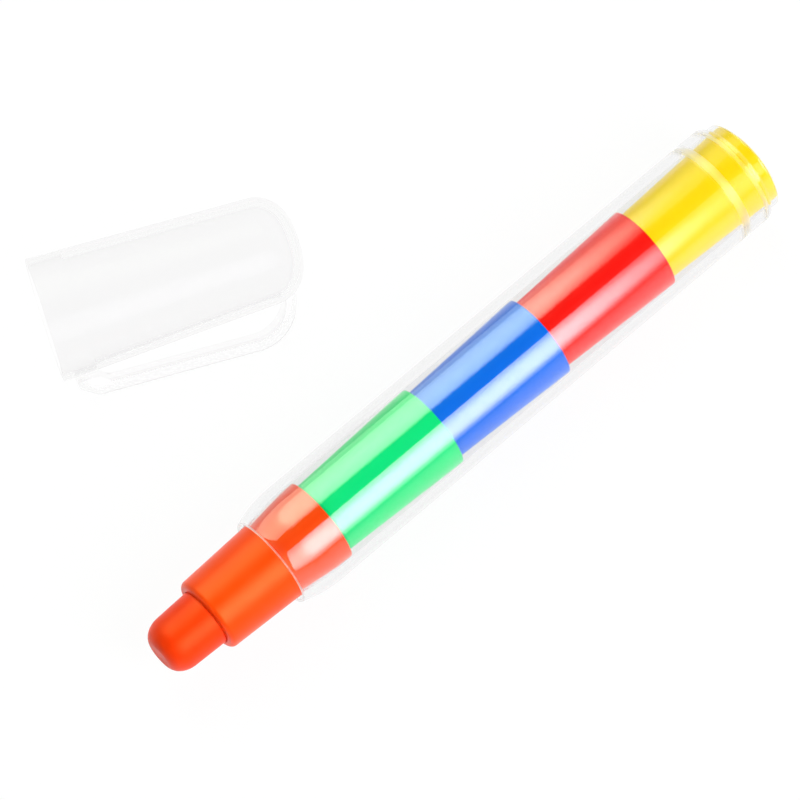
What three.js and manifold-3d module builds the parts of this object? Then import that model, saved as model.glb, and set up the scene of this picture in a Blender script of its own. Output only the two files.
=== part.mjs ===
// Stackable crayon, millimetres, +Z up.
//
// A clear barrel lies along X with its mouth towards -X. Five coloured segments stand nose to tail
// in its bore: each is a plastic holder with a short wax crayon glued into its front, and the
// crayon's nose reaches into the hollow back of the segment in front. The first segment's nose
// shows at the mouth and the last one's rim shows at the back, where it is pushed. The clear cap
// with its pocket clip lies beside the barrel, taken off.

import * as THREE from 'three';
import { mergeVertices, toCreasedNormals } from 'three/addons/utils/BufferGeometryUtils.js';
import Module from 'manifold-3d';

// Roundness of every turned surface. A multiple of 4 puts a flat on each side of the piece.
const facets = 40;
const cornerSteps = 4;
const noseSteps = 7;
const clipCurveSteps = 5;
const creaseAngle = THREE.MathUtils.degToRad(28);

// Crayon: a wax stick glued into the holder's socket
const stickDiameter = 7.8;
const stickBackChamfer = 0.3;
const glueGap = 0.06;
const noseReach = 7.5;
const noseDraft = 0.15;
const noseFlatDiameter = 3.2;
const noseRoundLength = 2.9;

// Holder: a tapered plastic sleeve with a socket in front and a cup behind
const socketDepth = 7.0;
const webThickness = 1.1;
const socketWall = 1.09;
const holderTaper = Math.tan(THREE.MathUtils.degToRad(2.27));
const holderFrontRound = 0.75;
const rimRound = 0.25;

// Stack: a holder pushed seatDepth into the next one's cup would wedge there. It stands less deep,
// and the drawing segment stands loosest.
const seatDepth = 1.9;
const noseClearance = 1.2;
const firstNest = 0.15;
const nestDepth = 0.65;
const boreClearance = 0.15;

// Barrel: its mouth leaves the first holder's front standing out, and its back leaves the last rim
const barrelWall = 1.3;
const frontStandOut = 10.55;
const rimStandOut = 0.4;
const mouthChamfer = 0.2;
const mouthLand = 0.3;
const mouthShoulderLength = 2.6;
const tailShoulderLength = 1.05;
const tailCollarLength = 1.35;
const tailCollarWall = 0.4;
const tailEdgeChamfer = 0.1;
const leadInClearance = 0.15;
const leadInDepth = 5.4;
const leadInConeLength = 0.9;

// Cap: a tapered cup whose collar slides over the barrel
const capLength = 33.5;
const capNarrowing = 2.3;
const capDomeLength = 4.6;
const capEndFlatDiameter = 3.0;
const capWall = 1.15;
const capRimRound = 0.15;
const collarWall = 0.8;
const collarClearance = 0.05;
const collarDepth = 4.4;

// Pocket clip: places along the cap, and heights of its outer face over the cap's rim
const clipWidth = 5.0;
const clipThickness = 1.4;
const clipEdgeRound = 0.3;
const clipTipSetback = 1.6;
const clipTipChamfer = 2.2;
const clipRootSetback = 8.5;
const clipRootRadius = 6.2;
const clipTipHeight = 1.3;
const clipFreeHeight = 2.75;
const clipRootHeight = 3.7;
const clipNubGap = 0.4;
const clipNubLength = 3.0;
const clipNubRamp = 1.2;

// Where the cap lies: its mouth's centre from the nose, and its turn from the barrel's direction
const capMouthAlong = 18.3;
const capMouthAcross = 43.05;
const capTurn = THREE.MathUtils.degToRad(-23.5);

const colours = {
  orange: { holder: 0xff5a10, crayon: 0xf4520c },
  green: { holder: 0x04d276, crayon: 0x12b566 },
  blue: { holder: 0x0a64e0, crayon: 0x1450c0 },
  red: { holder: 0xf01e1e, crayon: 0xd01818 },
  yellow: { holder: 0xffd610, crayon: 0xf6c60a },
};

// Sizes that follow from the ones above
const cupDepth = noseReach + seatDepth + noseClearance;
const holderLength = socketDepth + webThickness + cupDepth;
const holderFrontDiameter = stickDiameter + 2 * (glueGap + socketWall);
const holderRimDiameter = holderFrontDiameter + 2 * holderLength * holderTaper;
const cupMouthRadius = holderFrontDiameter / 2 + seatDepth * holderTaper;
const cupFloorRadius = cupMouthRadius - cupDepth * holderTaper;
const noseDiameter = stickDiameter - 2 * noseDraft;

const segmentNames = Object.keys(colours);
const firstPitch = holderLength - firstNest;
const pitch = holderLength - nestDepth;
const lastFront = noseReach + firstPitch + (segmentNames.length - 2) * pitch;

const boreRadius = holderRimDiameter / 2 + boreClearance;
const leadInRadius = boreRadius + leadInClearance;
const tailCollarRadius = leadInRadius + tailCollarWall;
const barrelRadius = boreRadius + barrelWall;
const mouthPosition = noseReach + frontStandOut;
const barrelLength = lastFront + holderLength - rimStandOut - mouthPosition;

const collarRadius = barrelRadius + collarClearance;
const capMouthRadius = collarRadius + collarWall;
const capEndRadius = capMouthRadius - capNarrowing / 2;
const capTaper = (capMouthRadius - capEndRadius) / (capLength - capDomeLength);
const clipFreeStart = clipTipSetback + clipTipChamfer;
const clipRootPosition = capLength - clipRootSetback;
const clipSlope = (clipRootHeight - clipFreeHeight) / (clipRootPosition - clipFreeStart);

const manifold = await Module();
manifold.setup();

// A quarter of an ellipse in a profile, as (radius, position) points, from one angle to another
function arc(centreRadius, centrePosition, reachOut, reachAlong, fromDegrees, toDegrees, steps) {
  const points = [];
  for (let step = 0; step <= steps; step += 1) {
    const angle = THREE.MathUtils.degToRad(fromDegrees + ((toDegrees - fromDegrees) * step) / steps);
    const radius = centreRadius + reachOut * Math.cos(angle);
    const position = centrePosition + reachAlong * Math.sin(angle);
    points.push(new THREE.Vector2(radius, position));
  }
  return points;
}

const at = (radius, position) => new THREE.Vector2(radius, position);

// Turns a profile of (radius, position) points about the X axis. Each flat's middle lies on the
// true circle and one flat faces straight down, so pieces inside one another keep their clearance.
function turned(profile) {
  const spread = 1 / Math.cos(Math.PI / facets);
  const points = profile.map((point) => at(point.x * spread, point.y));
  const geometry = new THREE.LatheGeometry(points, facets, Math.PI / facets);
  geometry.rotateZ(-Math.PI / 2);
  geometry.deleteAttribute('normal');
  geometry.deleteAttribute('uv');
  return mergeVertices(geometry, 1e-4);
}

function toSolid(geometry) {
  const bare = geometry.clone();
  bare.deleteAttribute('normal');
  bare.deleteAttribute('uv');
  const merged = mergeVertices(bare, 1e-4);
  const mesh = new manifold.Mesh({
    numProp: 3,
    vertProperties: new Float32Array(merged.attributes.position.array),
    triVerts: new Uint32Array(merged.index.array),
  });
  mesh.merge();
  return new manifold.Manifold(mesh);
}

function toGeometry(solid) {
  const mesh = solid.getMesh();
  const geometry = new THREE.BufferGeometry();
  geometry.setAttribute('position', new THREE.BufferAttribute(mesh.vertProperties, 3));
  geometry.setIndex(new THREE.BufferAttribute(mesh.triVerts, 1));
  return geometry;
}

function piece(name, geometry, material) {
  const mesh = new THREE.Mesh(toCreasedNormals(geometry, creaseAngle), material);
  mesh.name = name;
  return mesh;
}

function clearPlastic() {
  return new THREE.MeshStandardMaterial({
    color: 0xf3f7f8,
    roughness: 0.06,
    metalness: 0,
    transparent: true,
    opacity: 0.28,
  });
}

const holderRadiusAt = (position) => holderFrontDiameter / 2 + position * holderTaper;

// Profile from the web's front face round the sleeve to the cup's floor, front plane at 0
function makeHolderGeometry() {
  const socketRadius = stickDiameter / 2 + glueGap;
  const frontRound = arc(
    holderRadiusAt(holderFrontRound) - holderFrontRound,
    holderFrontRound,
    holderFrontRound,
    holderFrontRound,
    -90,
    0,
    cornerSteps,
  );
  const rearRound = arc(
    holderRimDiameter / 2 - rimRound,
    holderLength - rimRound,
    rimRound,
    rimRound,
    0,
    90,
    cornerSteps - 1,
  );
  return turned([
    at(0, socketDepth),
    at(socketRadius, socketDepth),
    at(socketRadius, 0),
    ...frontRound,
    ...rearRound,
    at(cupMouthRadius, holderLength),
    at(cupFloorRadius, socketDepth + webThickness),
    at(0, socketDepth + webThickness),
  ]);
}

// Profile from the blunt nose to the glued end, with the holder's front plane at 0
function makeCrayonGeometry() {
  const noseRound = arc(
    noseFlatDiameter / 2,
    noseRoundLength - noseReach,
    (noseDiameter - noseFlatDiameter) / 2,
    noseRoundLength,
    -90,
    0,
    noseSteps,
  );
  const backEnd = socketDepth - glueGap;
  return turned([
    at(0, -noseReach),
    ...noseRound,
    at(stickDiameter / 2, 0),
    at(stickDiameter / 2, backEnd - stickBackChamfer),
    at(stickDiameter / 2 - stickBackChamfer, backEnd),
    at(0, backEnd),
  ]);
}

// A tube with a rounded shoulder at its mouth and a thin collar at its back, mouth plane at 0
function makeBarrelGeometry() {
  const mouthEdge = boreRadius + mouthChamfer;
  const landEdge = mouthEdge + mouthLand;
  const mouthShoulder = arc(
    landEdge,
    mouthShoulderLength,
    barrelRadius - landEdge,
    mouthShoulderLength,
    -90,
    0,
    cornerSteps + 1,
  );
  const tailShoulder = arc(
    tailCollarRadius,
    barrelLength - tailCollarLength - tailShoulderLength,
    barrelRadius - tailCollarRadius,
    tailShoulderLength,
    0,
    90,
    cornerSteps,
  );
  const leadInStart = barrelLength - leadInDepth;
  return turned([
    at(mouthEdge, 0),
    ...mouthShoulder,
    ...tailShoulder,
    at(tailCollarRadius, barrelLength - tailEdgeChamfer),
    at(tailCollarRadius - tailEdgeChamfer, barrelLength),
    at(leadInRadius, barrelLength),
    at(leadInRadius, leadInStart),
    at(boreRadius, leadInStart - leadInConeLength),
    at(boreRadius, mouthChamfer),
    at(mouthEdge, 0),
  ]);
}

const capRadiusAt = (position) => capMouthRadius - position * capTaper;

// The cap's outer form without its clip, mouth plane at 0
function makeCapOutside() {
  const dome = arc(
    capEndFlatDiameter / 2,
    capLength - capDomeLength,
    capEndRadius - capEndFlatDiameter / 2,
    capDomeLength,
    0,
    90,
    noseSteps,
  );
  return toSolid(turned([
    at(0, 0),
    at(capMouthRadius - capRimRound, 0),
    at(capRadiusAt(capRimRound), capRimRound),
    ...dome,
    at(0, capLength),
  ]));
}

// The space in the cap: a collar that fits the barrel, a step that stops it, and a domed hollow
function makeCapHollow() {
  const mouthOverrun = 1;
  const dome = arc(
    capEndFlatDiameter / 2,
    capLength - capDomeLength,
    capEndRadius - capEndFlatDiameter / 2 - capWall,
    capDomeLength - capWall,
    0,
    90,
    noseSteps,
  );
  return toSolid(turned([
    at(0, -mouthOverrun),
    at(collarRadius, -mouthOverrun),
    at(collarRadius, collarDepth),
    at(capRadiusAt(collarDepth) - capWall, collarDepth),
    ...dome,
    at(0, capLength - capWall),
  ]));
}

// Side view of the clip: from its root in the cap's dome, over a round shoulder, along the strap
// to the tip, and back by way of the nub that grips the pocket
function makeClipShape() {
  const freeHeight = capMouthRadius + clipFreeHeight;
  const rootHeight = capMouthRadius + clipRootHeight;
  const underside = (position) => freeHeight - clipThickness + (position - clipFreeStart) * clipSlope;
  const rootCentreHeight = rootHeight - clipRootRadius;
  const rootInnerRadius = clipRootRadius - clipThickness;
  const rootDepth = capEndFlatDiameter / 2;
  const nubHeight = capMouthRadius + clipNubGap;
  const nubEnd = clipTipSetback + clipNubLength;
  const shape = new THREE.Shape();
  shape.moveTo(clipRootPosition + clipRootRadius, rootDepth);
  shape.lineTo(clipRootPosition + clipRootRadius, rootCentreHeight);
  shape.absarc(clipRootPosition, rootCentreHeight, clipRootRadius, 0, Math.PI / 2, false);
  shape.lineTo(clipFreeStart, freeHeight);
  shape.lineTo(clipTipSetback, capMouthRadius + clipTipHeight);
  shape.lineTo(clipTipSetback, nubHeight);
  shape.lineTo(nubEnd, nubHeight);
  shape.lineTo(nubEnd + clipNubRamp, underside(nubEnd + clipNubRamp));
  shape.lineTo(clipRootPosition, underside(clipRootPosition));
  shape.absarc(clipRootPosition, rootCentreHeight, rootInnerRadius, Math.PI / 2, 0, true);
  shape.lineTo(clipRootPosition + rootInnerRadius, rootDepth);
  shape.closePath();
  return shape;
}

// How far the clip leans down, so that the lower edge of its strap lies on the table
function clipLean() {
  const edgeHeightAtMouth = capMouthRadius + clipFreeHeight - clipFreeStart * clipSlope - clipEdgeRound;
  const edgeReach = Math.hypot(edgeHeightAtMouth, clipWidth / 2);
  return Math.asin(capRadiusAt(capRimRound) / edgeReach) - Math.atan2(clipWidth / 2, edgeHeightAtMouth);
}

function makeClip() {
  const geometry = new THREE.ExtrudeGeometry(makeClipShape(), {
    depth: clipWidth - 2 * clipEdgeRound,
    curveSegments: clipCurveSteps,
    bevelEnabled: true,
    bevelSegments: 1,
    bevelThickness: clipEdgeRound,
    bevelSize: clipEdgeRound,
    bevelOffset: -clipEdgeRound,
  });
  geometry.translate(0, 0, clipEdgeRound - clipWidth / 2);
  geometry.rotateX(Math.PI + clipLean());
  return toSolid(geometry);
}

// The cap lies on its rim and along its clip, which lifts the closed end a little
function makeCap() {
  const geometry = toGeometry(makeCapOutside().add(makeClip()).subtract(makeCapHollow()));
  const cap = piece('cap', geometry, clearPlastic());
  const rise = Math.atan(clipSlope * Math.sin(clipLean()));
  const lying = new THREE.Group();
  lying.rotation.y = -rise;
  lying.position.z = capRadiusAt(capRimRound) * Math.cos(rise);
  lying.add(cap);
  const place = new THREE.Group();
  place.rotation.z = capTurn;
  place.position.set(capMouthAlong, capMouthAcross, 0);
  place.add(lying);
  return place;
}

function makeSegment(name, position) {
  const segment = new THREE.Group();
  const holderFinish = { color: colours[name].holder, roughness: 0.32, metalness: 0 };
  const waxFinish = { color: colours[name].crayon, roughness: 0.55, metalness: 0 };
  segment.add(piece(`${name}_holder`, makeHolderGeometry(), new THREE.MeshStandardMaterial(holderFinish)));
  segment.add(piece(`${name}_crayon`, makeCrayonGeometry(), new THREE.MeshStandardMaterial(waxFinish)));
  segment.position.x = position;
  return segment;
}

function makePen() {
  const pen = new THREE.Group();
  const barrel = piece('barrel', makeBarrelGeometry(), clearPlastic());
  barrel.position.x = mouthPosition;
  pen.add(barrel);
  segmentNames.forEach((name, index) => {
    const behindFirst = index === 0 ? 0 : firstPitch + (index - 1) * pitch;
    pen.add(makeSegment(name, noseReach + behindFirst));
  });
  pen.position.z = barrelRadius;
  return pen;
}

const model = new THREE.Group();
model.add(makePen(), makeCap());

// The origin lies on the table under the middle of everything
const extent = new THREE.Box3().setFromObject(model, true);
const middle = extent.getCenter(new THREE.Vector3());
model.position.set(-middle.x, -middle.y, -extent.min.z);

export default model;
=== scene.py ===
"""Stackable crayon: its smooth pieces, their finishes, the table, the light and the camera.
All lengths are in metres."""

import math

import bpy
from mathutils import Matrix, Vector


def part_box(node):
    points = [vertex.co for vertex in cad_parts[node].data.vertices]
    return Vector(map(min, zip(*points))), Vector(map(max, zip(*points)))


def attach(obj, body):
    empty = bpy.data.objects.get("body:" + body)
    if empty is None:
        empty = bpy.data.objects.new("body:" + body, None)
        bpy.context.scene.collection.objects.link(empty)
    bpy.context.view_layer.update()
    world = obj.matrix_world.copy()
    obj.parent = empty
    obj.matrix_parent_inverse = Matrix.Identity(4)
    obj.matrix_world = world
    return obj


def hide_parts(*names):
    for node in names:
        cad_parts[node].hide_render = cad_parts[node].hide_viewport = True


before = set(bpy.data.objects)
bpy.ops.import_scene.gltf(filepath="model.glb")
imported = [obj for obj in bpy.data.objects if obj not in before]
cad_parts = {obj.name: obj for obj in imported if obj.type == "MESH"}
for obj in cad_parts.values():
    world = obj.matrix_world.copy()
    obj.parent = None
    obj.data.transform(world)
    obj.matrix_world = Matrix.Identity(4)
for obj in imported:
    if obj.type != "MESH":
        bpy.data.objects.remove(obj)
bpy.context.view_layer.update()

MM = 0.001

# The pen's own lines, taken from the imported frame
nose_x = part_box("orange_crayon")[0].x
mouth_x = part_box("barrel")[0].x
tail_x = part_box("barrel")[1].x
barrel_radius = (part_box("barrel")[1].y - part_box("barrel")[0].y) / 2
axis_y = (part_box("barrel")[1].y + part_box("barrel")[0].y) / 2
axis_z = barrel_radius
segment_names = ["orange", "green", "blue", "red", "yellow"]
holder_fronts = {name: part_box(f"{name}_holder")[0].x for name in segment_names}
holder_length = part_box("orange_holder")[1].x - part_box("orange_holder")[0].x
rim_radius = (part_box("orange_holder")[1].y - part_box("orange_holder")[0].y) / 2

# Holder and crayon
stick_radius = 3.9 * MM
nose_radius = 3.75 * MM
nose_flat_radius = 1.6 * MM
nose_round_length = 2.9 * MM
nose_reach = holder_fronts["orange"] - nose_x
stick_back_chamfer = 0.3 * MM
glue_gap = 0.06 * MM
socket_depth = 7.0 * MM
socket_wall = 1.09 * MM
web_thickness = 1.1 * MM
seat_depth = 1.9 * MM
holder_front_round = 0.75 * MM
rim_round = 0.25 * MM
socket_radius = stick_radius + glue_gap
holder_front_radius = stick_radius + glue_gap + socket_wall
holder_taper = (rim_radius - holder_front_radius) / holder_length
cup_mouth_radius = holder_front_radius + seat_depth * holder_taper
cup_floor_x = socket_depth + web_thickness
cup_floor_radius = cup_mouth_radius - (holder_length - cup_floor_x) * holder_taper

# Barrel, whose shoulder at the mouth is longer and flatter than the CAD's, as in the photograph
bore_clearance = 0.15 * MM
bore_radius = rim_radius + bore_clearance
mouth_chamfer = 0.1 * MM
mouth_land = 0.14 * MM
mouth_shoulder_length = 5.5 * MM
tail_shoulder_length = 1.05 * MM
tail_collar_length = 1.35 * MM
tail_collar_wall = 0.4 * MM
lead_in_clearance = 0.15 * MM
lead_in_radius = bore_radius + lead_in_clearance
lead_in_depth = 5.4 * MM
lead_in_cone_length = 0.9 * MM
tail_collar_radius = lead_in_radius + tail_collar_wall
barrel_length = tail_x - mouth_x
tail_shoulder_x = tail_x - tail_collar_length - tail_shoulder_length

# Cap and its clip, from the mouth's centre along the cap's own axis
cap_length = 33.5 * MM
cap_collar_radius = barrel_radius + 0.05 * MM
cap_mouth_radius = cap_collar_radius + 0.8 * MM
cap_end_radius = cap_mouth_radius - 1.15 * MM
cap_dome_length = 4.6 * MM
cap_dome_x = cap_length - cap_dome_length
cap_end_flat_radius = 1.5 * MM
cap_wall = 1.15 * MM
cap_rim_round = 0.15 * MM
cap_collar_depth = 4.4 * MM
cap_taper = (cap_mouth_radius - cap_end_radius) / cap_dome_x
clip_width = 5.0 * MM
clip_thickness = 1.4 * MM
clip_edge_round = 0.3 * MM
clip_tip_x = 1.6 * MM
clip_free_x = 3.8 * MM
clip_root_x = cap_length - 8.5 * MM
clip_root_radius = 6.2 * MM
clip_tip_height = cap_mouth_radius + 1.3 * MM
clip_free_height = cap_mouth_radius + 2.75 * MM
clip_root_height = cap_mouth_radius + 3.7 * MM
clip_nub_height = cap_mouth_radius + 0.4 * MM
clip_nub_length = 3.0 * MM
clip_nub_ramp = 1.2 * MM
clip_slope = (clip_root_height - clip_free_height) / (clip_root_x - clip_free_x)
cap_turn = math.radians(-23.5)
cap_mouth_x = nose_x + 18.3 * MM
cap_mouth_y = axis_y + 43.05 * MM

# Fineness
ring_points = 192
clear_ring_points = 400
holding_ring_gap = 0.15 * MM
long_stretch_length = 8 * holding_ring_gap
broken_edge_width = 0.05 * MM
clip_bevel_width = 0.42 * MM
front_round_steps = 12
rim_round_steps = 8
nose_steps = 20
mouth_shoulder_rings = 32
tail_shoulder_steps = 14
cap_rim_steps = 6
cap_dome_steps = 28
clip_turn_steps = 18
closed_radius = 1e-7
turned_merge_distance = 1e-8
clip_merge_distance = 1e-7


# Modelling

def deselect_all():
    if bpy.context.mode != "OBJECT":
        bpy.ops.object.mode_set(mode="OBJECT")
    bpy.ops.object.select_all(action="DESELECT")


def make_active(piece):
    deselect_all()
    piece.select_set(True)
    bpy.context.view_layer.objects.active = piece


def quarter(centre_radius, centre_x, reach_out, reach_along, start, end, steps):
    """A stretch of an ellipse in a turned profile, as (radius, x) points, angles in degrees."""
    points = []
    for step in range(steps + 1):
        angle = math.radians(start + (end - start) * step / steps)
        radius = centre_radius + reach_out * math.cos(angle)
        points.append((radius, centre_x + reach_along * math.sin(angle)))
    return points


def with_holding_rings(profile):
    """Adds a ring close to each end of every long straight stretch, so that it shines straight."""
    held = [profile[0]]
    for (radius, x), (next_radius, next_x) in zip(profile, profile[1:]):
        length = math.hypot(next_radius - radius, next_x - x)
        if length > long_stretch_length and radius > 0 and next_radius > 0:
            for share in (holding_ring_gap / length, 1 - holding_ring_gap / length):
                held.append((radius + (next_radius - radius) * share, x + (next_x - x) * share))
        held.append((next_radius, next_x))
    return held


def turn_profile(name, profile, centre_y, centre_z, points):
    """Draws a ring at the profile's first point and pulls it out along the rest, ring by ring.
    A radius of 0 at either end closes that end in a point on the axis."""
    deselect_all()
    profile = with_holding_rings(profile)
    starts_closed = profile[0][0] <= closed_radius
    ends_closed = profile[-1][0] <= closed_radius
    rings = profile[1:] if starts_closed else profile
    rings = rings[:-1] if ends_closed else rings
    radius, x = rings[0]
    bpy.ops.mesh.primitive_circle_add(
        vertices=points,
        radius=radius,
        fill_type="NOTHING",
        location=(x, centre_y, centre_z),
        rotation=(0, math.pi / 2, 0),
    )
    turned = bpy.context.object
    turned.name = turned.data.name = name
    bpy.ops.object.transform_apply(location=True, rotation=True, scale=True)
    bpy.ops.object.mode_set(mode="EDIT")
    bpy.ops.mesh.select_mode(type="VERT")
    bpy.ops.mesh.select_all(action="SELECT")
    if starts_closed:
        bpy.ops.mesh.edge_face_add()
        bpy.ops.mesh.poke()
        bpy.ops.mesh.select_all(action="DESELECT")
        select_where(turned, lambda co: math.hypot(co.y - centre_y, co.z - centre_z) > radius / 2)
    for next_radius, next_x in rings[1:]:
        bpy.ops.mesh.extrude_edges_move(TRANSFORM_OT_translate={"value": (next_x - x, 0, 0)})
        ratio = next_radius / radius
        bpy.ops.transform.resize(
            value=(1, ratio, ratio), center_override=(next_x, centre_y, centre_z),
        )
        radius, x = next_radius, next_x
    if ends_closed:
        bpy.ops.mesh.edge_face_add()
        bpy.ops.mesh.poke()
    bpy.ops.mesh.select_all(action="SELECT")
    bpy.ops.mesh.remove_doubles(threshold=turned_merge_distance)
    bpy.ops.mesh.normals_make_consistent(inside=False)
    bpy.ops.object.mode_set(mode="OBJECT")
    return turned


def select_where(piece, holds):
    """Selects the vertices of the piece in edit mode whose place passes the test."""
    bpy.ops.object.mode_set(mode="OBJECT")
    for vertex in piece.data.vertices:
        vertex.select = holds(vertex.co)
    bpy.ops.object.mode_set(mode="EDIT")


def smooth(piece, degrees=32):
    make_active(piece)
    bpy.ops.object.shade_smooth_by_angle(angle=math.radians(degrees))


def apply_modifier(piece, modifier):
    make_active(piece)
    bpy.ops.object.modifier_apply(modifier=modifier.name)


def break_edges(piece, width, segments=3, degrees=30):
    """Rounds every sharp edge of a piece a little, as a mould leaves it."""
    bevel = piece.modifiers.new("broken edges", "BEVEL")
    bevel.width = width
    bevel.segments = segments
    bevel.limit_method = "ANGLE"
    bevel.angle_limit = math.radians(degrees)
    bevel.harden_normals = False
    apply_modifier(piece, bevel)


def combine(piece, other, operation):
    """Joins or cuts with another solid, which is used up."""
    boolean = piece.modifiers.new(operation.lower(), "BOOLEAN")
    boolean.operation = operation
    boolean.solver = "EXACT"
    boolean.object = other
    apply_modifier(piece, boolean)
    bpy.data.objects.remove(other)


def copy_along(piece, name, distance):
    """A copy with its own mesh, moved along X."""
    copy = piece.copy()
    copy.data = piece.data.copy()
    copy.name = copy.data.name = name
    bpy.context.scene.collection.objects.link(copy)
    copy.data.transform(Matrix.Translation((distance, 0, 0)))
    return copy


def holder_radius_at(x):
    return holder_front_radius + x * holder_taper


def make_holder(name):
    """A tapered sleeve with a socket in front and a cup behind, in the first segment's place."""
    front = holder_fronts["orange"]
    profile = [(0, socket_depth), (socket_radius, socket_depth), (socket_radius, 0)]
    profile += quarter(
        holder_radius_at(holder_front_round) - holder_front_round, holder_front_round,
        holder_front_round, holder_front_round, -90, 0, front_round_steps,
    )
    profile += quarter(
        rim_radius - rim_round, holder_length - rim_round, rim_round, rim_round, 0, 90,
        rim_round_steps,
    )
    profile += [
        (cup_mouth_radius, holder_length),
        (cup_floor_radius, cup_floor_x),
        (0, cup_floor_x),
    ]
    profile = [(radius, front + x) for radius, x in profile]
    holder = turn_profile(name, profile, axis_y, axis_z, ring_points)
    break_edges(holder, broken_edge_width)
    smooth(holder)
    return holder


def make_crayon(name):
    """A wax stick with a blunt, cast nose, in the first segment's place."""
    front = holder_fronts["orange"]
    back = socket_depth - glue_gap
    profile = [(0, -nose_reach)]
    profile += quarter(
        nose_flat_radius, nose_round_length - nose_reach,
        nose_radius - nose_flat_radius, nose_round_length, -90, 0, nose_steps,
    )
    profile += [
        (stick_radius, 0),
        (stick_radius, back - stick_back_chamfer),
        (stick_radius - stick_back_chamfer, back),
        (0, back),
    ]
    profile = [(radius, front + x) for radius, x in profile]
    crayon = turn_profile(name, profile, axis_y, axis_z, ring_points)
    smooth(crayon)
    return crayon


def make_barrel(name):
    """The clear tube: a rounded shoulder round its mouth, a thin collar at its back."""
    mouth_edge = bore_radius + mouth_chamfer
    land_edge = mouth_edge + mouth_land
    shoulder_start = barrel_length - tail_collar_length - tail_shoulder_length
    lead_in_start = barrel_length - lead_in_depth
    profile = [(mouth_edge, 0)]
    for ring in range(mouth_shoulder_rings + 1):
        share = ring / mouth_shoulder_rings
        shoulder_radius = barrel_radius - (barrel_radius - land_edge) * (1 - share) ** 2
        profile.append((shoulder_radius, mouth_shoulder_length * share))
    profile += quarter(
        tail_collar_radius, shoulder_start, barrel_radius - tail_collar_radius,
        tail_shoulder_length, 0, 90, tail_shoulder_steps,
    )
    profile += [
        (tail_collar_radius, barrel_length),
        (lead_in_radius, barrel_length),
        (lead_in_radius, lead_in_start),
        (bore_radius, lead_in_start - lead_in_cone_length),
        (bore_radius, mouth_chamfer),
        (mouth_edge, 0),
    ]
    profile = [(radius, mouth_x + x) for radius, x in profile]
    barrel = turn_profile(name, profile, axis_y, axis_z, clear_ring_points)
    break_edges(barrel, broken_edge_width)
    smooth(barrel)
    return barrel


def cap_radius_at(x):
    return cap_mouth_radius - x * cap_taper


def make_cap_outside():
    profile = [(0, 0), (cap_mouth_radius - cap_rim_round, 0)]
    profile += quarter(
        cap_radius_at(cap_rim_round) - cap_rim_round, cap_rim_round,
        cap_rim_round, cap_rim_round, -80, 0, cap_rim_steps,
    )
    profile += quarter(
        cap_end_flat_radius, cap_dome_x,
        cap_end_radius - cap_end_flat_radius, cap_dome_length, 0, 90, cap_dome_steps,
    )
    profile += [(0, cap_length)]
    return turn_profile("cap", profile, 0, 0, clear_ring_points)


def make_cap_hollow():
    overrun = 1 * MM
    profile = [
        (0, -overrun),
        (cap_collar_radius, -overrun),
        (cap_collar_radius, cap_collar_depth),
        (cap_radius_at(cap_collar_depth) - cap_wall, cap_collar_depth),
    ]
    profile += quarter(
        cap_end_flat_radius, cap_dome_x,
        cap_end_radius - cap_end_flat_radius - cap_wall, cap_dome_length - cap_wall,
        0, 90, cap_dome_steps,
    )
    profile += [(0, cap_length - cap_wall)]
    return turn_profile("cap_hollow", profile, 0, 0, clear_ring_points)


def strap_top_at(x):
    return clip_free_height + (x - clip_free_x) * clip_slope


def make_clip():
    """The strap, pulled from its root in the dome, over a round shoulder and forward to the tip,
    where the nub that grips the pocket hangs from it. It stands towards +Z."""
    deselect_all()
    root_middle_x = clip_root_x + clip_root_radius - clip_thickness / 2
    bpy.ops.mesh.primitive_plane_add(size=1, location=(root_middle_x, 0, cap_end_flat_radius))
    clip = bpy.context.object
    clip.name = clip.data.name = "clip"
    clip.scale = (clip_thickness, clip_width, 1)
    bpy.ops.object.transform_apply(location=True, rotation=True, scale=True)
    bpy.ops.object.mode_set(mode="EDIT")
    bpy.ops.mesh.select_all(action="SELECT")
    shoulder_centre = Vector((clip_root_x, 0, clip_root_height - clip_root_radius))
    rise = shoulder_centre.z - cap_end_flat_radius
    bpy.ops.mesh.extrude_region_move(TRANSFORM_OT_translate={"value": (0, 0, rise)})
    bpy.ops.mesh.spin(
        steps=clip_turn_steps, angle=math.pi / 2, center=tuple(shoulder_centre), axis=(0, 1, 0),
    )
    nub_end_x = clip_tip_x + clip_nub_length
    ramp_x = nub_end_x + clip_nub_ramp
    x, top, bottom = clip_root_x, clip_root_height, clip_root_height - clip_thickness
    stations = [
        (ramp_x, strap_top_at(ramp_x), strap_top_at(ramp_x) - clip_thickness),
        (nub_end_x, strap_top_at(nub_end_x), clip_nub_height),
        (clip_free_x, clip_free_height, clip_nub_height),
        (clip_tip_x, clip_tip_height, clip_nub_height),
    ]
    for next_x, next_top, next_bottom in stations:
        lift = (next_top + next_bottom - top - bottom) / 2
        bpy.ops.mesh.extrude_region_move(TRANSFORM_OT_translate={"value": (next_x - x, 0, lift)})
        bpy.ops.transform.resize(
            value=(1, 1, (next_top - next_bottom) / (top - bottom)),
            center_override=(next_x, 0, (next_top + next_bottom) / 2),
        )
        x, top, bottom = next_x, next_top, next_bottom
    bpy.ops.mesh.select_all(action="SELECT")
    bpy.ops.mesh.remove_doubles(threshold=clip_merge_distance)
    bpy.ops.mesh.normals_make_consistent(inside=False)
    bpy.ops.object.mode_set(mode="OBJECT")
    break_edges(clip, clip_bevel_width, segments=5, degrees=20)
    return clip


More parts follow.
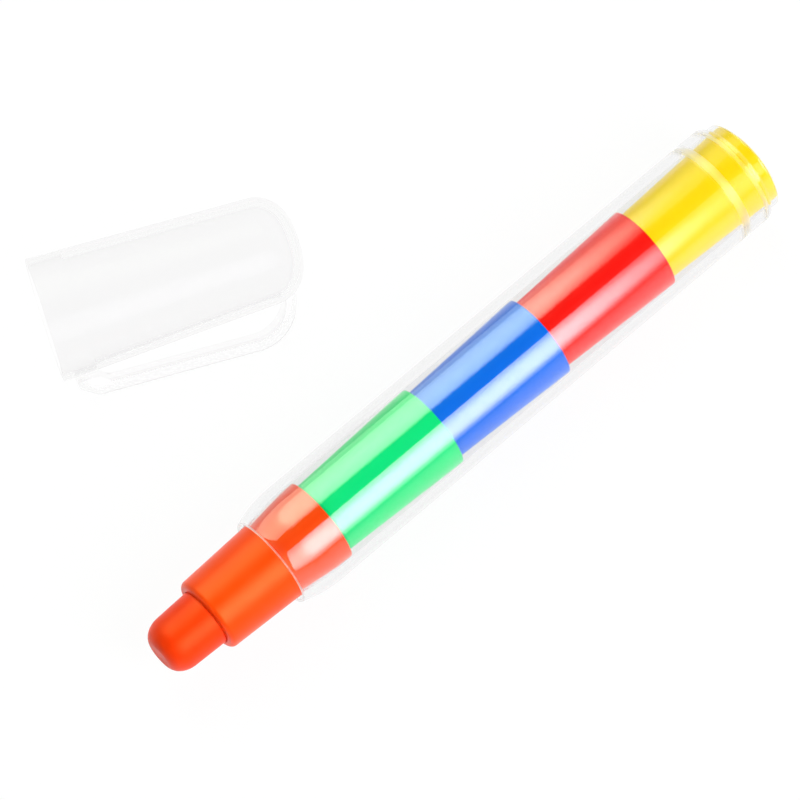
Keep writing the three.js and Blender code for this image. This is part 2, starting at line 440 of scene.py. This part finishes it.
def make_cap():
    """One moulding: a domed cup and its clip, made along X and then laid on the table, where it
    leans over until its rim and one edge of its clip both touch."""
    cap = make_cap_outside()
    combine(cap, make_clip(), "UNION")
    combine(cap, make_cap_hollow(), "DIFFERENCE")
    edge_height = clip_free_height - clip_free_x * clip_slope - clip_edge_round
    edge_reach = math.hypot(edge_height, clip_width / 2)
    rest_radius = cap_radius_at(cap_rim_round)
    lean = math.asin(rest_radius / edge_reach) - math.atan2(clip_width / 2, edge_height)
    rise = math.atan(clip_slope * math.sin(lean))
    mouth = Vector((cap_mouth_x, cap_mouth_y, rest_radius * math.cos(rise)))
    cap.data.transform(
        Matrix.Translation(mouth)
        @ Matrix.Rotation(cap_turn, 4, "Z")
        @ Matrix.Rotation(-rise, 4, "Y")
        @ Matrix.Rotation(math.pi / 2 + lean, 4, "X")
    )
    smooth(cap)
    return cap


# Shader parts

def new_material(name):
    material = bpy.data.materials.new(name)
    material.use_nodes = True
    return material, material.node_tree.nodes, material.node_tree.links


def calculate(nodes, links, operation, *values):
    """A Math node on sockets and plain numbers."""
    step = nodes.new("ShaderNodeMath")
    step.operation = operation
    for socket, value in zip(step.inputs, values):
        if isinstance(value, float):
            socket.default_value = value
        else:
            links.new(value, socket)
    return step.outputs[0]


def remap(nodes, links, value, onto=(0.0, 1.0), reach=(0.0, 1.0), interpolation="LINEAR"):
    """Maps a value's reach onto another, and holds it at the ends."""
    step = nodes.new("ShaderNodeMapRange")
    step.interpolation_type = interpolation
    step.inputs["From Min"].default_value, step.inputs["From Max"].default_value = reach
    step.inputs["To Min"].default_value, step.inputs["To Max"].default_value = onto
    links.new(value, step.inputs["Value"])
    return step.outputs["Result"]


def blend(nodes, links, factor, value, number):
    """Goes from a value to a plain number as the factor goes from 0 to 1."""
    mix = nodes.new("ShaderNodeMix")
    mix.inputs["B"].default_value = number
    links.new(factor, mix.inputs["Factor"])
    links.new(value, mix.inputs["A"])
    return mix.outputs["Result"]


def two_shades(nodes, links, mask, dark, light):
    mix = nodes.new("ShaderNodeMix")
    mix.data_type = "RGBA"
    mix.inputs["A"].default_value = dark
    mix.inputs["B"].default_value = light
    links.new(mask, mix.inputs["Factor"])
    return mix.outputs["Result"]


def show_either(nodes, links, share, shader, other):
    """Gives the material's surface one shader, and the other where the share is 1."""
    mix = nodes.new("ShaderNodeMixShader")
    links.new(share, mix.inputs["Fac"])
    links.new(shader, mix.inputs[1])
    links.new(other, mix.inputs[2])
    links.new(mix.outputs["Shader"], nodes["Material Output"].inputs["Surface"])


def object_place(nodes, links):
    """The place on the piece, as a Separate XYZ node's outputs."""
    place = nodes.new("ShaderNodeTexCoord")
    parts = nodes.new("ShaderNodeSeparateXYZ")
    links.new(place.outputs["Object"], parts.inputs["Vector"])
    return parts.outputs


def srgb(red, green, blue):
    """A colour given as it looks on a screen, 0 to 255, as the linear colour that shaders use."""
    linear = []
    for part in (red, green, blue):
        part /= 255
        linear.append(part / 12.92 if part <= 0.04045 else ((part + 0.055) / 1.055) ** 2.4)
    return (*linear, 1.0)


def moulded_surface_group():
    """Small unevenness of moulded plastic and wax. Marks is a 0 to 1 mask of faint rubbed spots,
    Height a relief for a Bump node, Mottle a slow change of shade."""
    group = bpy.data.node_groups.new("moulded surface", "ShaderNodeTree")
    defaults = {"Waviness Scale": 90.0, "Grain Scale": 2500.0, "Grain Amount": 0.3}
    for name, value in defaults.items():
        socket = group.interface.new_socket(
            name=name, in_out="INPUT", socket_type="NodeSocketFloat",
        )
        socket.default_value = value
    for name in ("Marks", "Height", "Mottle"):
        group.interface.new_socket(name=name, in_out="OUTPUT", socket_type="NodeSocketFloat")
    nodes, links = group.nodes, group.links
    inputs = nodes.new("NodeGroupInput")
    outputs = nodes.new("NodeGroupOutput")
    place = nodes.new("ShaderNodeTexCoord")

    waves = nodes.new("ShaderNodeTexNoise")
    waves.inputs["Detail"].default_value = 2.0
    links.new(inputs.outputs["Waviness Scale"], waves.inputs["Scale"])

    grain = nodes.new("ShaderNodeTexNoise")
    grain.inputs["Detail"].default_value = 3.0
    grain.inputs["Roughness"].default_value = 0.6
    links.new(inputs.outputs["Grain Scale"], grain.inputs["Scale"])

    spots = nodes.new("ShaderNodeTexNoise")
    spots.inputs["Scale"].default_value = 420.0
    spots.inputs["Detail"].default_value = 4.0

    for noise in (waves, grain, spots):
        links.new(place.outputs["Object"], noise.inputs["Vector"])
    grain_share = calculate(
        nodes, links, "MULTIPLY", grain.outputs["Fac"], inputs.outputs["Grain Amount"],
    )
    relief = calculate(nodes, links, "ADD", waves.outputs["Fac"], grain_share)
    marks = remap(nodes, links, spots.outputs["Fac"], reach=(0.52, 0.75))
    links.new(relief, outputs.inputs["Height"])
    links.new(marks, outputs.inputs["Marks"])
    links.new(waves.outputs["Fac"], outputs.inputs["Mottle"])
    return group


def surface_detail(nodes, waviness, grain, amount):
    detail = nodes.new("ShaderNodeGroup")
    detail.node_tree = moulded_surface
    detail.inputs["Waviness Scale"].default_value = waviness
    detail.inputs["Grain Scale"].default_value = grain
    detail.inputs["Grain Amount"].default_value = amount
    return detail.outputs


def add_bump(nodes, links, height, distance, strength, shader):
    bump = nodes.new("ShaderNodeBump")
    bump.inputs["Distance"].default_value = distance
    bump.inputs["Strength"].default_value = strength
    links.new(height, bump.inputs["Height"])
    links.new(bump.outputs["Normal"], shader.inputs["Normal"])


# Finishes

def sheen_tint(colour):
    """The colour of the soft shine that a pigmented surface gives back: a paler kind of its own."""
    return (*(part ** 0.25 for part in colour[:3]), 1.0)


def sleeve_plastic(name, colour, light):
    """Satin moulded plastic in a bright, opaque colour."""
    material, nodes, links = new_material(f"{name} sleeve plastic")
    shader = nodes["Principled BSDF"]
    detail = surface_detail(nodes, waviness=160.0, grain=5200.0, amount=0.35)
    shade = two_shades(nodes, links, detail["Mottle"], colour, light)
    roughness = remap(nodes, links, detail["Marks"], onto=(0.32, 0.42))
    links.new(shade, shader.inputs["Base Color"])
    links.new(roughness, shader.inputs["Roughness"])
    shader.inputs["IOR"].default_value = 1.5
    shader.inputs["Specular IOR Level"].default_value = 0.42
    shader.inputs["Specular Tint"].default_value = sheen_tint(light)
    add_bump(nodes, links, detail["Height"], 0.02 * MM, 0.35, shader)
    return material


def wax(name, colour, light):
    """Cast crayon wax: soft sheen, faint cloudiness, small pits."""
    material, nodes, links = new_material(f"{name} crayon wax")
    shader = nodes["Principled BSDF"]
    detail = surface_detail(nodes, waviness=300.0, grain=2600.0, amount=0.8)
    shade = two_shades(nodes, links, detail["Mottle"], colour, light)
    roughness = remap(nodes, links, detail["Marks"], onto=(0.38, 0.52))
    links.new(shade, shader.inputs["Base Color"])
    links.new(roughness, shader.inputs["Roughness"])
    shader.inputs["IOR"].default_value = 1.44
    shader.inputs["Specular IOR Level"].default_value = 0.4
    shader.inputs["Specular Tint"].default_value = sheen_tint(light)
    shader.inputs["Subsurface Weight"].default_value = 0.08
    shader.inputs["Subsurface Scale"].default_value = 0.6 * MM
    add_bump(nodes, links, detail["Height"], 0.05 * MM, 0.4, shader)
    return material


def clear_plastic(name, tint, edge_tint, bend, softness, bends_kept, frosted_rings=()):
    """Clear moulded plastic with faint flow waves and rubbed spots, darker where the wall is seen
    edge on. frosted_rings gives the middle and half width along X of each ring that the mould or
    the table has left a little matt. After bends_kept bends, light goes straight on."""
    material, nodes, links = new_material(name)
    shader = nodes["Principled BSDF"]
    detail = surface_detail(nodes, waviness=130.0, grain=3000.0, amount=0.02)
    facing = nodes.new("ShaderNodeLayerWeight").outputs["Facing"]
    edge_on = remap(nodes, links, facing, reach=edge_on_reach, interpolation="SMOOTHSTEP")
    links.new(two_shades(nodes, links, edge_on, tint, edge_tint), shader.inputs["Base Color"])
    shader.inputs["Transmission Weight"].default_value = 1.0
    shader.inputs["IOR"].default_value = bend
    rubbed = softness + rubbed_spot_roughness
    roughness = remap(nodes, links, detail["Marks"], onto=(softness, rubbed))
    if frosted_rings:
        place_x = object_place(nodes, links)["X"]
    for middle, half_width in frosted_rings:
        inside = calculate(nodes, links, "COMPARE", place_x, middle, half_width)
        roughness = calculate(nodes, links, "MULTIPLY_ADD", inside, frost_roughness, roughness)
    links.new(roughness, shader.inputs["Roughness"])
    add_bump(nodes, links, detail["Height"], 0.02 * MM, 0.012, shader)
    let_light_in(nodes, links, shader, bends_kept)
    return material


def let_light_in(nodes, links, shader, bends_kept):
    """Lets lamp light, light on its way from a matt piece, and light caught inside the wall
    straight through."""
    rays = nodes.new("ShaderNodeLightPath").outputs
    matt = calculate(nodes, links, "MAXIMUM", rays["Is Shadow Ray"], rays["Is Diffuse Ray"])
    caught = calculate(nodes, links, "GREATER_THAN", rays["Ray Depth"], bends_kept + 0.5)
    either = calculate(nodes, links, "MAXIMUM", matt, caught)
    through = nodes.new("ShaderNodeBsdfTransparent")
    through.inputs["Color"].default_value = (0.97, 0.97, 0.97, 1.0)
    show_either(nodes, links, either, shader.outputs["BSDF"], through.outputs["BSDF"])


# As seen in the open, and a lighter shade that the mottle reaches
sleeve_colours = {
    "orange": (srgb(246, 62, 1), srgb(251, 73, 3)),
    "green": (srgb(1, 219, 115), srgb(6, 225, 124)),
    "blue": (srgb(1, 100, 222), srgb(5, 107, 228)),
    "red": (srgb(245, 10, 4), srgb(251, 20, 10)),
    "yellow": (srgb(254, 208, 3), srgb(255, 216, 10)),
}
wax_colours = {
    "orange": (srgb(236, 46, 1), srgb(246, 62, 2)),
    "green": (srgb(6, 190, 96), srgb(16, 202, 108)),
    "blue": (srgb(8, 84, 196), srgb(16, 96, 208)),
    "red": (srgb(222, 20, 12), srgb(232, 32, 22)),
    "yellow": (srgb(246, 196, 6), srgb(252, 206, 14)),
}

# Clear plastic
edge_on_reach = (0.3, 0.7)
rubbed_spot_roughness = 0.03
frost_roughness = 0.4
frosted_barrel_rings = [
    (mouth_x, 0.2 * MM),
    (tail_x - lead_in_depth - lead_in_cone_length / 2, lead_in_cone_length / 2),
    (tail_shoulder_x, 0.15 * MM),
]
moulded_surface = moulded_surface_group()
barrel_finish = clear_plastic(
    "clear barrel plastic",
    tint=(0.91, 0.91, 0.91, 1.0),
    edge_tint=(0.89, 0.89, 0.89, 1.0),
    bend=1.5,
    softness=0.0,
    bends_kept=3,
    frosted_rings=frosted_barrel_rings,
)
cap_finish = clear_plastic(
    "clear cap plastic",
    tint=(0.997, 0.991, 0.994, 1.0),
    edge_tint=(0.93, 0.923, 0.926, 1.0),
    bend=1.09,
    softness=0.1,
    bends_kept=1,
)


# Pieces

def dress(piece, material, body, node):
    piece.data.materials.clear()
    piece.data.materials.append(material)
    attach(piece, body)
    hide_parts(node)


dress(make_barrel("clear_barrel"), barrel_finish, "barrel", "barrel")
dress(make_cap(), cap_finish, "cap", "cap")

first_holder = make_holder("orange_sleeve")
first_crayon = make_crayon("orange_stick")
for segment in segment_names:
    if segment == "orange":
        holder, crayon = first_holder, first_crayon
    else:
        shift = holder_fronts[segment] - holder_fronts["orange"]
        holder = copy_along(first_holder, f"{segment}_sleeve", shift)
        crayon = copy_along(first_crayon, f"{segment}_stick", shift)
    body = f"{segment}_segment"
    plastic = sleeve_plastic(segment, *sleeve_colours[segment])
    dress(holder, plastic, body, f"{segment}_holder")
    dress(crayon, wax(segment, *wax_colours[segment]), body, f"{segment}_crayon")


# Table, light and camera

def make_table():
    """A white table that keeps a faint shadow. The camera, gloss and clear plastic see it white."""
    deselect_all()
    bpy.ops.mesh.primitive_plane_add(size=table_size, location=(0, 0, 0))
    table = bpy.context.object
    table.name = "table"
    material, nodes, links = new_material("white table")
    shader = nodes["Principled BSDF"]
    shader.inputs["Base Color"].default_value = (0.9, 0.9, 0.9, 1.0)
    shader.inputs["Roughness"].default_value = 0.9
    glow = nodes.new("ShaderNodeEmission")
    glow.inputs["Strength"].default_value = 1.0
    rays = nodes.new("ShaderNodeLightPath").outputs
    seen = calculate(nodes, links, "MAXIMUM", rays["Is Camera Ray"], rays["Is Glossy Ray"])
    seen = calculate(nodes, links, "MAXIMUM", seen, rays["Is Transmission Ray"])
    share = calculate(nodes, links, "MULTIPLY", seen, table_glow_share)
    show_either(nodes, links, share, shader.outputs["BSDF"], glow.outputs["Emission"])
    table.data.materials.append(material)


def make_softbox(name, start_x, end_x, angle_start, angle_end, brightness, colour, shares):
    """A glowing cloth panel that spans the given angles from straight up, positive towards the
    camera side, at one distance from the pen's axis. shares gives its brightness across, from its
    -Y edge. It fades towards the pen's back."""
    deselect_all()
    middle = math.radians((angle_start + angle_end) / 2)
    half_span = math.radians(abs(angle_end - angle_start) / 2)
    width = 2 * softbox_distance * math.tan(half_span)
    length = end_x - start_x
    towards = Vector((0, -math.sin(middle), math.cos(middle)))
    centre = Vector(((start_x + end_x) / 2, axis_y, axis_z)) + towards * softbox_distance
    bpy.ops.mesh.primitive_plane_add(size=1, location=centre, rotation=(middle, 0, 0))
    panel = bpy.context.object
    panel.name = name
    panel.scale = (length, width, 1)
    bpy.ops.object.transform_apply(location=False, rotation=False, scale=True)
    material, nodes, links = new_material(name)
    nodes.remove(nodes["Principled BSDF"])
    glow = nodes.new("ShaderNodeEmission")
    place = object_place(nodes, links)
    strength = remap(
        nodes, links, place["X"],
        onto=(brightness, brightness * softbox_faded_share),
        reach=(softbox_fade_start_x - centre.x, softbox_fade_end_x - centre.x),
        interpolation="SMOOTHSTEP",
    )
    across = remap(nodes, links, place["Y"], reach=(-width / 2, width / 2))
    ramp = nodes.new("ShaderNodeValToRGB")
    stops = ramp.color_ramp.elements
    for position, share in shares[1:-1]:
        stops.new(position)
    for stop, (position, share) in zip(stops, shares):
        stop.position = position
        stop.color = (*(share * part for part in colour), 1.0)
    links.new(across, ramp.inputs["Fac"])
    links.new(ramp.outputs["Color"], glow.inputs["Color"])
    links.new(strength, glow.inputs["Strength"])
    links.new(glow.outputs["Emission"], nodes["Material Output"].inputs["Surface"])
    panel.data.materials.append(material)
    panel.visible_camera = False
    return panel


def make_fill_lamp(name, angle, power):
    """A soft lamp at the given angle from straight up that lights matt colour but leaves no shine.
    It hangs in front of the softboxes, which would hide it."""
    angle = math.radians(angle)
    towards = Vector((0, -math.sin(angle), math.cos(angle)))
    lamp = bpy.data.lights.new(name, "AREA")
    lamp.shape = "RECTANGLE"
    lamp.size = fill_lamp_length
    lamp.size_y = fill_lamp_width
    lamp.energy = power
    stand = bpy.data.objects.new(name, lamp)
    bpy.context.scene.collection.objects.link(stand)
    stand.location = Vector((0, axis_y, axis_z)) + towards * fill_lamp_distance
    stand.rotation_euler = (angle, 0, 0)
    stand.visible_camera = False
    stand.visible_glossy = False
    stand.visible_transmission = False


def make_camera():
    elevation = math.radians(68.0)
    azimuth = math.radians(42.07)
    distance = 0.600
    look = Vector((
        math.cos(elevation) * math.sin(azimuth),
        math.cos(elevation) * math.cos(azimuth),
        -math.sin(elevation),
    ))
    aim = Vector((nose_x + 44.47 * MM, axis_y + 5.36 * MM, axis_z))
    camera = bpy.data.cameras.new("camera")
    camera.sensor_width = 36.0
    camera.lens = 216.0
    camera.clip_start = 0.01
    camera.clip_end = 20.0
    stand = bpy.data.objects.new("camera", camera)
    bpy.context.scene.collection.objects.link(stand)
    stand.location = aim - look * distance
    stand.rotation_euler = look.to_track_quat("-Z", "Y").to_euler()
    bpy.context.scene.camera = stand


def make_world():
    """A dim room. The camera, gloss and clear plastic see a white surround and, overhead, a dark
    ceiling that leaves the room's far ends white. The softboxes hang under it."""
    world = bpy.data.worlds.new("room")
    bpy.context.scene.world = world
    world.use_nodes = True
    nodes, links = world.node_tree.nodes, world.node_tree.links
    background = nodes["Background"]
    background.inputs["Color"].default_value = (1.0, 1.0, 1.0, 1.0)
    direction = nodes.new("ShaderNodeTexCoord")
    parts = nodes.new("ShaderNodeSeparateXYZ")
    links.new(direction.outputs["Generated"], parts.inputs["Vector"])
    climb = remap(
        nodes, links, parts.outputs["Z"],
        onto=(surround_brightness, ceiling_brightness), reach=ceiling_edge_reach,
    )
    sideways = calculate(nodes, links, "ABSOLUTE", parts.outputs["X"])
    far_end = remap(nodes, links, sideways, reach=far_end_reach, interpolation="SMOOTHSTEP")
    seen = blend(nodes, links, far_end, climb, surround_brightness)
    rays = nodes.new("ShaderNodeLightPath").outputs
    strength = blend(nodes, links, rays["Is Diffuse Ray"], seen, room_brightness)
    links.new(strength, background.inputs["Strength"])


table_size = 6.0
table_glow_share = 0.95
room_brightness = 0.19
surround_brightness = 1.0
ceiling_brightness = 0.02
# The rise of a ray, 0 level and 1 straight up, over which the surround gives way to the ceiling
ceiling_edge_reach = (0.1, 0.4)
# The share of a ray that runs along the pen, over which the ceiling gives way to a white end
far_end_reach = (0.5, 0.75)
softbox_distance = 0.5
softbox_nose_end_x = -0.25
softbox_start_x = -0.05
softbox_fade_start_x = 0.15
softbox_fade_end_x = 0.215
softbox_end_x = 0.23
softbox_faded_share = 0.1
softboxes = {
    "back softbox": {
        "angle_start": -68.0,
        "angle_end": -12.5,
        "brightness": 4.9,
        "colour": (1.0, 1.17, 0.94),
        "shares": [(0.0, 0.65), (0.3, 0.95), (0.5, 1.0), (1.0, 0.55)],
    },
    "front softbox": {
        "angle_start": 21.5,
        "angle_end": 70.0,
        "brightness": 9.2,
        "colour": (1.0, 1.0, 1.08),
        "shares": [(0.0, 0.15), (0.2, 0.85), (0.4, 1.0), (0.65, 0.95), (1.0, 0.35)],
    },
}
fill_lamp_distance = 0.42
fill_lamp_length = 0.5
fill_lamp_width = 0.25

make_table()
make_world()
for name, softbox in softboxes.items():
    make_softbox(name, softbox_start_x, softbox_end_x, **softbox)
    nose_panel = make_softbox(f"{name} nose end", softbox_nose_end_x, softbox_start_x, **softbox)
    nose_panel.visible_diffuse = False
make_fill_lamp("front fill lamp", angle=65.0, power=0.5)
make_fill_lamp("back fill lamp", angle=-62.0, power=0.22)
make_camera()
bpy.context.scene.view_settings.view_transform = "Standard"
